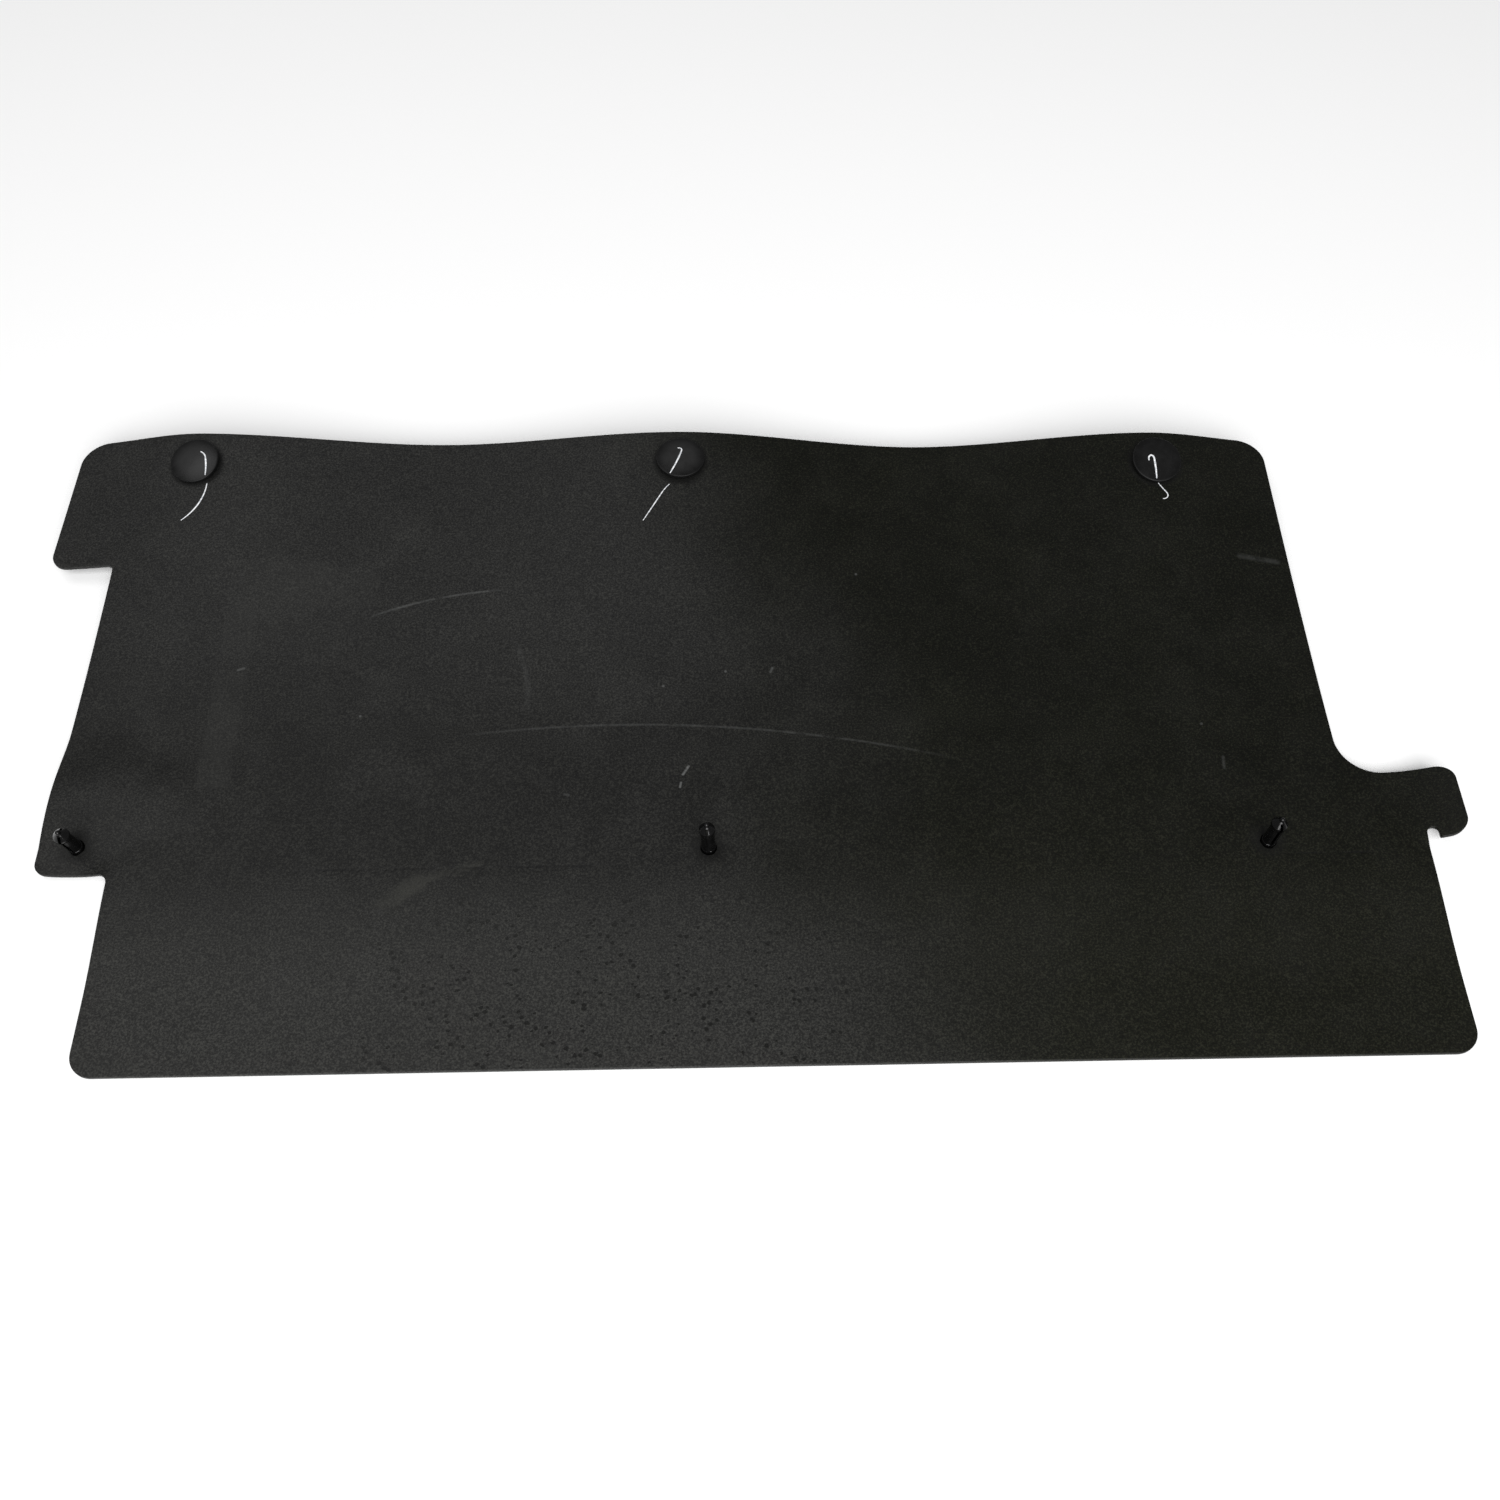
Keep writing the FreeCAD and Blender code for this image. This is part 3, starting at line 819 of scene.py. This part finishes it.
lie_settings = {
    "Fold Line": fold_y, "Fold Height": fold_height, "Flap Settle": flap_settle,
    "Ramp Start": ramp_start, "Ramp End": ramp_end, "Tab Curl": tab_curl,
    "Tab Curl Start": half_width - tab_curl_length, "Tab Curl Length": tab_curl_length,
    "Tab Curl Rise": tab_curl_rise, "Left Slopes": (*left_slopes, 0.0),
    "Left Seat": (left_seat.x, left_seat.y, left_seat.z + leaning_seat_gap),
    "Head Reach": head_radius + seat_gap, "Left Reach": left_reach,
    "Slot Across": flap_right + slot_width / 2.0, "Waviness": 0.00018, "Rubber": rubber,
}
for number, (across, lift) in enumerate(stations):
    lie_settings[f"Station {number} Across"] = across
    lie_settings[f"Station {number} Lift"] = lift
rubber_sheet = named(made_by(lie_tree, rubber_sheet, lie_settings), "rubber_sheet")
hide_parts("main_panel", "lower_flap")
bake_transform(rubber_sheet)


# ---- six push-in retainers ------------------------------------------------------------------
# Each is one moulding in black nylon: a domed head, a neck that sits in the sheet, two springy
# legs with fine grip rings and a slot between them, a shoulder that snaps in, and a round nose.

head_rim = 0.0017
head_height = 0.0028
stem_length = 0.0245
neck_radius = 0.0033
neck_length = 0.0046
leg_radius = 0.0031
shoulder_radius = 0.00365
shoulder_start = stem_length - 0.0064
shoulder_land = 0.0016
shoulder_back = 0.0014
nose_waist = 0.00165
nose_tip = 0.00125
leg_slot_width = 0.0013
leg_slot_end = 0.0026
dome_rise = head_height - head_rim
dome_sphere = (head_radius ** 2 + dome_rise ** 2) / (2.0 * dome_rise)

half_section = [(0.0, -head_height, 0.0)]
for k in range(1, 12):
    angle = math.asin(head_radius / dome_sphere) * k / 12
    drop = dome_sphere * (1.0 - math.cos(angle))
    half_section.append((dome_sphere * math.sin(angle), drop - head_height, 0.0))
half_section += [
    (head_radius, -head_rim, 0.00045),
    (head_radius, 0.0, 0.0003),
    (neck_radius, 0.0, 0.0003),
    (neck_radius, neck_length, 0.0001),
    (leg_radius, neck_length + 0.00015, 0.0001),
    (leg_radius, shoulder_start - shoulder_back, 0.0004),
    (shoulder_radius, shoulder_start, 0.0004),
    (shoulder_radius, shoulder_start + shoulder_land, 0.0005),
    (nose_waist, stem_length - leg_slot_end - 0.0001, 0.0006),
]
for k in range(9):
    angle = math.radians(-40.0 + 130.0 * k / 8)
    half_section.append((nose_tip * math.cos(angle) if k < 8 else 0.0,
                         stem_length - nose_tip * (1.0 - math.sin(angle)), 0.0))


def section_step(point):
    if point.y > neck_length and point.y < shoulder_start:
        return 0.00014
    return 0.0012


section_points = rounded_outline(half_section, section_step, closed=False)

# Nylon: satin black with faint flow clouds and fine scuffs; painted shade on the heads' rims and
# undersides, and a painted sheen on the domes, strongest on the left and centre heads.
nylon, tree = new_material("retainer_nylon")
nylon_shader = coat(nylon, (0.002, 0.002, 0.002), 0.32, 0.28)
place = node(tree, "ShaderNodeTexCoord", out=3)
flow = noise(tree, place, 160.0, 3.0, 0.55, 0.6)
fleck = noise(tree, place, 1500.0, 2.0, 0.6)
colour = eased(tree, flow, 0.35, 0.7)
colour = blended(tree, colour, (0.0012, 0.0012, 0.0012), (0.0030, 0.0030, 0.0031))
scuffed = times(tree, eased(tree, fleck, 0.55, 0.75), 0.3)
colour = blended(tree, scuffed, colour, (0.014, 0.014, 0.014))
along_stem = node(tree, "ShaderNodeAttribute", out="Fac", attribute_name="along_stem")
# Painted shade: the head's rim wall and underside are darker and rougher, where the gap under the
# head is shaded.
painted_rim_shade = eased(tree, along_stem, -0.0019, -0.0016)
painted_rim_shade = times(tree, painted_rim_shade, eased(tree, along_stem, 0.001, 0.0005))
colour = blended(tree, painted_rim_shade, colour, (0.001, 0.001, 0.001))
across = node(tree, "ShaderNodeSeparateXYZ", [place])
# Painted sheen: each dome is lighter towards its crown, most on the left and centre heads, where
# the light lies on them.
crown = eased(tree, along_stem, -0.0017, -0.0027)
painted_crown_sheen = times(tree, crown, eased(tree, across, 0.2, -0.02, 0.22, 1.0))
painted_crown_sheen = times(tree, painted_crown_sheen, eased(tree, flow, 0.2, 0.7, 0.7, 1.0))
colour = blended(tree, painted_crown_sheen, colour, (0.017, 0.017, 0.017))
join(tree, colour, nylon_shader.inputs["Base Color"])
rough = eased(tree, along_stem, 0.001, 0.004, 0.27, 0.14)
rough = plus(tree, rough, times(tree, painted_rim_shade, 0.3))
rough = plus(tree, rough, times(tree, minus(tree, flow, 0.5), 0.2))
join(tree, plus(tree, rough, times(tree, fleck, 0.06)), nylon_shader.inputs["Roughness"])
bump = {"Strength": 0.15, "Distance": 0.00004, "Height": fleck}
join(tree, node(tree, "ShaderNodeBump", bump), nylon_shader.inputs["Normal"])

mould_inputs = [("Int", "Segments"), ("Float", "Slot Width"), ("Float", "Slot Start"),
                ("Float", "Slot End"), ("Float", "Ring Pitch"), ("Float", "Ring Height"),
                ("Float", "Ring Start"), ("Float", "Ring End"), ("Rotation", "Lean"),
                ("Vector", "Seat"), ("Material", "Nylon")]
mould_tree, given = new_shape_tree("push_in_retainer", mould_inputs)
section = given["Geometry"]
section_count = node(mould_tree, "GeometryNodeAttributeDomainSize", [section])
turns = plus(mould_tree, given["Segments"], 1.0)
grid = mould_tree.nodes.new("GeometryNodeMeshGrid")
join(mould_tree, 1.0, grid.inputs["Size X"])
join(mould_tree, 1.0, grid.inputs["Size Y"])
join(mould_tree, section_count, grid.inputs["Vertices X"])
join(mould_tree, turns, grid.inputs["Vertices Y"])
where = node(mould_tree, "GeometryNodeInputPosition")
split = mould_tree.nodes.new("ShaderNodeSeparateXYZ")
join(mould_tree, where, split.inputs[0])
last = minus(mould_tree, section_count, 1.0)
step = times(mould_tree, plus(mould_tree, split.outputs[0], 0.5), last)
step = math_of(mould_tree, "ROUND", step)
angle = times(mould_tree, plus(mould_tree, split.outputs[1], 0.5), math.tau)
sampled = mould_tree.nodes.new("GeometryNodeSampleIndex")
sampled.data_type = "FLOAT_VECTOR"
join(mould_tree, section, sampled.inputs["Geometry"])
join(mould_tree, where, sampled.inputs["Value"])
join(mould_tree, step, sampled.inputs["Index"])
profile = mould_tree.nodes.new("ShaderNodeSeparateXYZ")
join(mould_tree, sampled.outputs[0], profile.inputs[0])
radius, height = profile.outputs[0], profile.outputs[2]
ring_phase = math_of(mould_tree, "DIVIDE", minus(mould_tree, height, given["Ring Start"]),
                     given["Ring Pitch"])
ring_phase = math_of(mould_tree, "FRACT", ring_phase)
ring_shape = minus(mould_tree, 1.0, math_of(mould_tree, "ABSOLUTE", minus(
    mould_tree, times(mould_tree, ring_phase, 2.0), 1.0)))
ring_fade = times(mould_tree,
                  math_of(mould_tree, "GREATER_THAN", height, given["Ring Start"]),
                  math_of(mould_tree, "LESS_THAN", height, given["Ring End"]))
ring_lift = times(mould_tree, times(mould_tree, ring_shape, ring_fade), given["Ring Height"])
radius = plus(mould_tree, radius, ring_lift)
turned = node(mould_tree, "ShaderNodeCombineXYZ", [
    times(mould_tree, radius, math_of(mould_tree, "COSINE", angle)),
    times(mould_tree, radius, math_of(mould_tree, "SINE", angle)), height])
shape = node(mould_tree, "GeometryNodeSetPosition",
             {"Geometry": grid.outputs[0], "Position": turned})
shape = node(mould_tree, "GeometryNodeMergeByDistance", {"Geometry": shape, "Distance": 1e-6})
slot_height = minus(mould_tree, given["Slot End"], given["Slot Start"])
slot_size = node(mould_tree, "ShaderNodeCombineXYZ", [given["Slot Width"], 0.02, slot_height])
slot_block = node(mould_tree, "GeometryNodeMeshCube", {"Size": slot_size})
slot_middle = plus(mould_tree, given["Slot Start"], times(mould_tree, slot_height, 0.5))
slot_place = node(mould_tree, "ShaderNodeCombineXYZ", [0.0, 0.0, slot_middle])
slot_block = node(mould_tree, "GeometryNodeTransform",
                  {"Geometry": slot_block, "Translation": slot_place})
cut = mould_tree.nodes.new("GeometryNodeMeshBoolean")
cut.operation = "DIFFERENCE"
cut.solver = "EXACT"
join(mould_tree, shape, cut.inputs[0])
join(mould_tree, slot_block, cut.inputs[1])
shape = node(mould_tree, "GeometryNodeSetShadeSmooth",
             {"Geometry": cut.outputs[0], "Shade Smooth": True})
crisp = math_of(mould_tree, "GREATER_THAN",
                node(mould_tree, "GeometryNodeInputMeshEdgeAngle"), math.radians(40.0))
shape = node(mould_tree, "GeometryNodeSetShadeSmooth",
             {"Geometry": shape, "Selection": crisp, "Shade Smooth": False}, domain="EDGE")
up_the_stem = mould_tree.nodes.new("ShaderNodeSeparateXYZ")
join(mould_tree, where, up_the_stem.inputs[0])
shape = node(mould_tree, "GeometryNodeStoreNamedAttribute",
             {"Geometry": shape, "Name": "along_stem", "Value": up_the_stem.outputs[2]})
shape = node(mould_tree, "GeometryNodeTransform",
             {"Geometry": shape, "Translation": given["Seat"], "Rotation": given["Lean"]})
end_tree(mould_tree, shape, given["Nylon"])

retainers = {}
for body in retainer_bodies:
    section_mesh = bpy.data.meshes.new("retainer_half_section")
    section_mesh.from_pydata([(point.x, 0.0, point.y) for point in section_points],
                             [(k, k + 1) for k in range(len(section_points) - 1)], [])
    half = bpy.data.objects.new("retainer_half_section", section_mesh)
    bpy.context.scene.collection.objects.link(half)
    axis = Vector(joint_of[body]["axis"])
    lean = Vector((0.0, 0.0, 1.0)).rotation_difference(axis).to_euler()
    settings = {
        "Segments": 72, "Slot Width": leg_slot_width, "Slot Start": neck_length,
        "Slot End": stem_length - leg_slot_end, "Ring Pitch": 0.00112, "Ring Height": 0.00008,
        "Ring Start": neck_length + 0.0008, "Ring End": shoulder_start - shoulder_back - 0.0003,
        "Lean": lean, "Seat": joint_of[body]["pos_m"], "Nylon": nylon,
    }
    retainer = named(made_by(mould_tree, half, settings), body.replace("retainer", "clip"))
    turned_outwards(retainer)
    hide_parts(body)
    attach(retainer, body)
    retainers[body] = retainer


# ---- witness marks --------------------------------------------------------------------------
# White paint-pen strokes across each rear head and on to the sheet, dried a little proud.
# They show whether a retainer has turned, so each head's part turns with its own retainer.

paint, tree = new_material("witness_paint")
paint_shader = coat(paint, (0.78, 0.79, 0.8), 0.55, 0.4)
place = node(tree, "ShaderNodeTexCoord", out=3)
streak = noise(tree, place, 900.0, 3.0, 0.65)
colour = blended(tree, eased(tree, streak, 0.36, 0.6), (0.42, 0.44, 0.47), (0.83, 0.84, 0.85))
join(tree, colour, paint_shader.inputs["Base Color"])
bump = {"Strength": 0.4, "Distance": 0.00008, "Height": streak}
join(tree, node(tree, "ShaderNodeBump", bump), paint_shader.inputs["Normal"])

pen_inputs = [("Object", "Surface"), ("Float", "Width"), ("Float", "Height"), ("Float", "Step"),
              ("Float", "Unevenness"), ("Material", "Paint")]
pen_tree, given = new_shape_tree("witness_mark", pen_inputs)
line = node(pen_tree, "GeometryNodeResampleCurve",
            {"Curve": given["Geometry"], "Length": given["Step"]}, mode="LENGTH")
uneven = noise(pen_tree, node(pen_tree, "GeometryNodeInputPosition"), 700.0, 2.0)
uneven = minus(pen_tree, uneven, 0.5)
own_width = node(pen_tree, "GeometryNodeInputRadius")
pen_width = plus(pen_tree, 1.0, times(pen_tree, uneven, given["Unevenness"]))
pen_width = times(pen_tree, pen_width, own_width)
tip = node(pen_tree, "GeometryNodeCurvePrimitiveCircle",
           {"Resolution": 12, "Radius": times(pen_tree, given["Width"], 0.5)})
tube = pen_tree.nodes.new("GeometryNodeCurveToMesh")
join(pen_tree, line, tube.inputs["Curve"])
join(pen_tree, tip, tube.inputs["Profile Curve"])
if "Scale" in tube.inputs:
    join(pen_tree, pen_width, tube.inputs["Scale"])
join(pen_tree, True, tube.inputs["Fill Caps"])
where = node(pen_tree, "GeometryNodeInputPosition")
split = pen_tree.nodes.new("ShaderNodeSeparateXYZ")
join(pen_tree, where, split.inputs[0])
above = node(pen_tree, "ShaderNodeCombineXYZ", [split.outputs[0], split.outputs[1], 0.2])
surface = node(pen_tree, "GeometryNodeObjectInfo", [given["Surface"]], out="Geometry")
ray = pen_tree.nodes.new("GeometryNodeRaycast")
join(pen_tree, surface, ray.inputs["Target Geometry"])
join(pen_tree, above, ray.inputs["Source Position"])
join(pen_tree, (0.0, 0.0, -1.0), ray.inputs["Ray Direction"])
join(pen_tree, 1.0, ray.inputs["Ray Length"])
flatness = math_of(pen_tree, "DIVIDE", given["Height"], times(pen_tree, given["Width"], 0.5))
proud = node(pen_tree, "ShaderNodeCombineXYZ",
             [0.0, 0.0, times(pen_tree, split.outputs[2], flatness)])
landed = node(pen_tree, "ShaderNodeVectorMath", [ray.outputs["Hit Position"], proud],
              operation="ADD")
shape = node(pen_tree, "GeometryNodeSetPosition", {"Geometry": tube.outputs[0], "Position": landed})
shape = node(pen_tree, "GeometryNodeSetShadeSmooth", {"Geometry": shape, "Shade Smooth": True})
end_tree(pen_tree, shape, given["Paint"])


def witness_mark(name, seat, stroke_of, surface, unevenness):
    """One paint stroke on a surface, given in head radii from its retainer's seat."""
    start, heading, runs, weight = stroke_of
    path = drawn_path(start, heading, runs, 0.1)
    drawn = bpy.data.curves.new(name, "CURVE")
    drawn.dimensions = "3D"
    spline = drawn.splines.new("NURBS")
    spline.points.add(len(path) - 1)
    for step, (point, spot) in enumerate(zip(spline.points, path)):
        off = spot * head_radius
        point.co = (seat.x + off.x, seat.y + off.y, 0.0, 1.0)
        point.radius = weight * (0.6 + 0.4 * math.sin(math.pi * step / (len(path) - 1)))
    spline.order_u = 3
    spline.use_endpoint_u = True
    pen = bpy.data.objects.new(name, drawn)
    bpy.context.scene.collection.objects.link(pen)
    settings = {"Surface": surface, "Width": 0.00076, "Height": 0.0001, "Step": 0.0003,
                "Unevenness": unevenness, "Paint": paint}
    mark = named(made_by(pen_tree, pen, settings), name)
    turned_outwards(mark)
    return mark


head_strokes = {                          # start, heading, runs of length and turn, weight
    "rear_left_retainer": ((0.25, 0.3), -15.0, [(0.3, -60.0), (0.85, -20.0)], 1.15),
    "rear_centre_retainer": ((-0.1, 0.4), 45.0, [(0.25, -150.0), (1.25, -15.0)], 1.15),
    "rear_right_retainer": ((-0.35, -0.15), 90.0,
                            [(0.15, 0.0), (0.3, -175.0), (0.9, -5.0)], 1.3),
}
sheet_strokes = {
    "rear_left_retainer": ((0.55, -0.95), -90.0, [(2.0, -50.0)], 1.05),
    "rear_centre_retainer": ((-0.45, -1.1), -135.0, [(0.5, 15.0), (1.5, 0.0)], 0.85),
    "rear_right_retainer": ((0.0, -0.95), -60.0, [(0.55, 5.0), (0.45, -140.0)], 0.85),
}
for body in rear_bodies:
    side = body.replace("_retainer", "")
    mark = witness_mark(f"{side}_head_mark", seat_of[body], head_strokes[body],
                        retainers[body], 0.35)
    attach(mark, body)
    unevenness = 1.2 if body == "rear_centre_retainer" else 0.4
    mark = witness_mark(f"{side}_sheet_mark", seat_of[body], sheet_strokes[body],
                        rubber_sheet, unevenness)
    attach(mark, "panel")


# ---- room -----------------------------------------------------------------------------------
# A plain pale floor, an even pale room and two soft panels: one behind the camera that lights
# the floor, and a dimmer one at the left that lies as a faint sheen on the rubber.

floor_mesh = bpy.data.meshes.new("floor")
floor_mesh.from_pydata([(-6.0, -6.0, 0.0), (6.0, -6.0, 0.0), (6.0, 6.0, 0.0), (-6.0, 6.0, 0.0)],
                       [], [(0, 1, 2, 3)])
floor = bpy.data.objects.new("floor", floor_mesh)
bpy.context.scene.collection.objects.link(floor)
floor_paint, tree = new_material("floor_paint")
coat(floor_paint, (0.93, 0.93, 0.93), 0.9, 0.1)
floor_mesh.materials.append(floor_paint)

world = bpy.data.worlds.new("pale room")
world.use_nodes = True
room = world.node_tree.nodes["Background"]
room.inputs["Color"].default_value = (1.0, 1.0, 1.0, 1.0)
room.inputs["Strength"].default_value = 0.24
bpy.context.scene.world = world


def soft_panel(name, place, aim, size, power):
    lamp = bpy.data.lights.new(name, "AREA")
    lamp.shape = "SQUARE"
    lamp.size = size
    lamp.energy = power
    panel = bpy.data.objects.new(name, lamp)
    panel.location = place
    panel.rotation_euler = (Vector(aim) - Vector(place)).to_track_quat("-Z", "Y").to_euler()
    bpy.context.scene.collection.objects.link(panel)
    return panel


soft_panel("panel behind camera", (0.2, -1.9, 2.0), (0.0, 0.2, 0.0), 2.2, 112.0)
soft_panel("panel at the left", (-0.75, 0.35, 1.85), (-0.1, 0.0, 0.0), 1.0, 5.0)

camera_spot = (0.0155, -0.4043, 0.622)
camera_dip = math.radians(58.0)
camera_roll = -0.018
lens_length = 36.91
camera_data = bpy.data.cameras.new("camera")
camera_data.lens = lens_length
camera_data.sensor_width = 36.0
camera_data.clip_start = 0.01
camera = bpy.data.objects.new("camera", camera_data)
bpy.context.scene.collection.objects.link(camera)
camera.location = camera_spot
look = Vector((0.0, math.cos(camera_dip), -math.sin(camera_dip)))
upright = look.to_track_quat("-Z", "Y").to_matrix()
tilt = Vector((0.0, 0.0, 1.0))
camera.rotation_euler = (upright @ Matrix.Rotation(camera_roll, 3, tilt)).to_euler()
bpy.context.scene.camera = camera
bpy.context.scene.view_settings.view_transform = "Standard"
